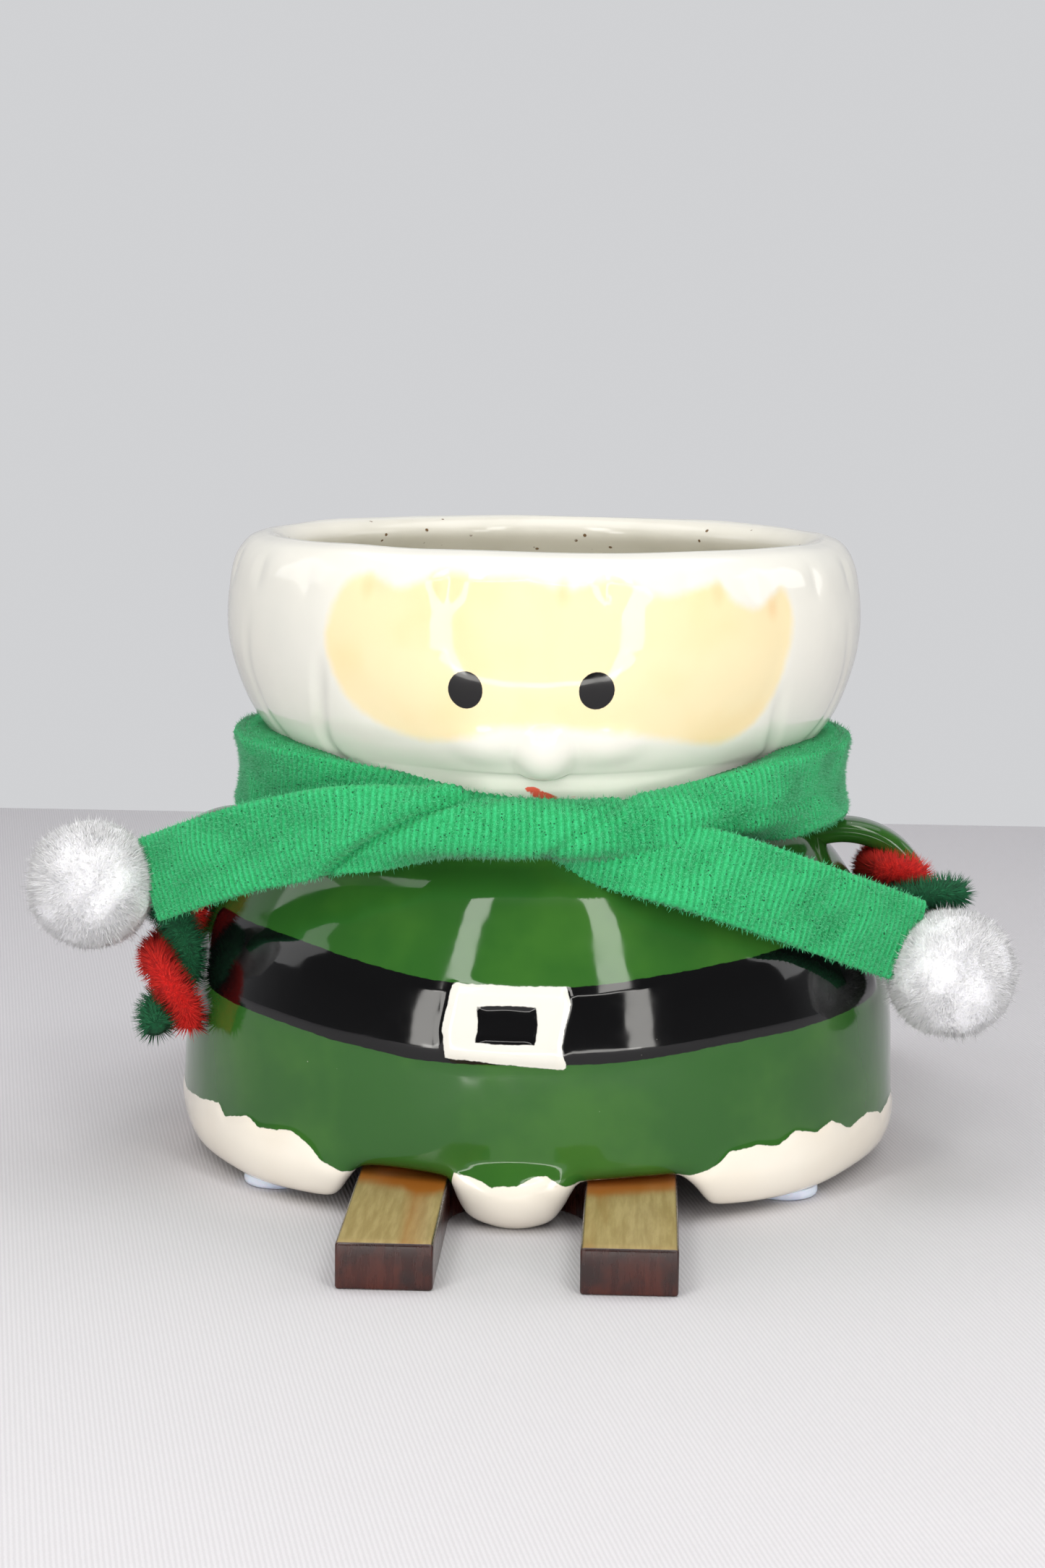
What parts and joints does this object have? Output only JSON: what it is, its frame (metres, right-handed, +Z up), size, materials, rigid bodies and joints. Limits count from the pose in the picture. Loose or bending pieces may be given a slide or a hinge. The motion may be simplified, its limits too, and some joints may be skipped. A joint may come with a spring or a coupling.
{
  "type": "gnome pot",
  "caption": "Glazed ceramic gnome pot with an open head, on a forked wooden board, with side lugs, a folding twisted chenille handle and a knitted scarf with pom-poms.",
  "frame": {"origin": "on the underside of the forked board, on the pot's axis, so the floor is z = 0", "axes": "+Z up along the pot's axis, -Y towards the gnome's face and the board's prongs, +X to the right as seen from the front"},
  "size_m": [0.1788, 0.2043, 0.1144],
  "materials": {
    "pot_glaze": "glossy clear glaze over white, cream, green, black and red underglaze areas",
    "lug_glaze": "glossy dark green glaze",
    "varnished_wood": "straw-coloured top with dark red-brown varnished edges",
    "scarf_knit": "ribbed brushed knit with short pile",
    "pompom_fluff": "dense fine white fibre",
    "red_chenille": "bristly pile on a wire core",
    "green_chenille": "bristly pile on a wire core",
    "pad_rubber": "milky white, slightly glossy"
  },
  "bodies": {
    "pot": {"pot_shell": "pot_glaze", "left_lug": "lug_glaze", "right_lug": "lug_glaze", "forked_board": "varnished_wood", "scarf_neck_wrap": "scarf_knit", "scarf_left_tail": "scarf_knit", "scarf_right_tail": "scarf_knit", "left_pompom": "pompom_fluff", "right_pompom": "pompom_fluff", "left_red_stem_end": "red_chenille", "left_green_stem_end": "green_chenille", "right_red_stem_end": "red_chenille", "right_green_stem_end": "green_chenille", "front_left_pad": "pad_rubber", "front_right_pad": "pad_rubber", "rear_left_pad": "pad_rubber", "rear_right_pad": "pad_rubber"},
    "handle": {"handle_red_stem": "red_chenille", "handle_green_stem": "green_chenille"}
  },
  "joints": [
    {"name": "handle_swing", "type": "hinge", "parent": "pot", "child": "handle", "pos_m": [0, 0.011, 0.05], "axis": [1, 0, 0], "range_deg": [0, 117]}
  ]
}
